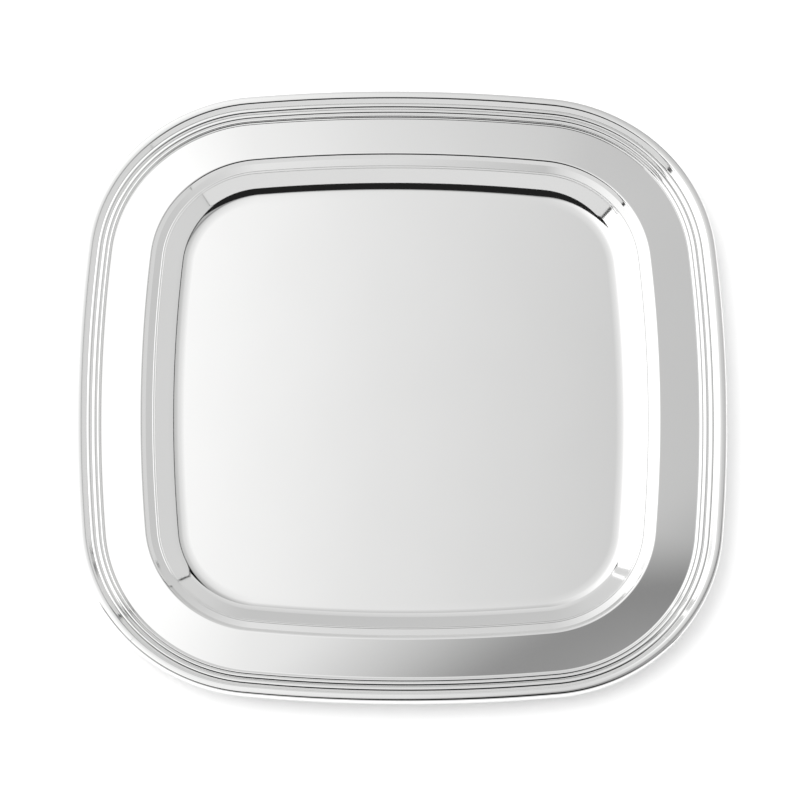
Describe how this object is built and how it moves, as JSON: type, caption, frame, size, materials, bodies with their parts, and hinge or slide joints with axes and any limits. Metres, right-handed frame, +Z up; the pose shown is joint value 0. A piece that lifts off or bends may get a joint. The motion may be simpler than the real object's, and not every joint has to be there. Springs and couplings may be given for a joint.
{
  "type": "salver",
  "caption": "Square salver with bowed sides, round corners, a sunk flat well, a broad plain rim, a reeded border and low feet, for carrying and presenting things.",
  "frame": {"origin": "on the ground, below the middle of the tray", "axes": "+Z up; +X and +Y each point to the middle of a side"},
  "size_m": [0.3, 0.3, 0.0163],
  "materials": {
    "polished_silver": "polished",
    "border_silver": "polished",
    "cast_silver": "satin"
  },
  "bodies": {
    "root": {"tray_plate": "polished_silver", "edge_wire_south": "border_silver", "edge_wire_east": "border_silver", "edge_wire_north": "border_silver", "edge_wire_west": "border_silver", "moulding_south": "border_silver", "moulding_east": "border_silver", "moulding_north": "border_silver", "moulding_west": "border_silver", "foot_southeast": "cast_silver", "foot_northeast": "cast_silver", "foot_northwest": "cast_silver", "foot_southwest": "cast_silver"}
  },
  "joints": []
}
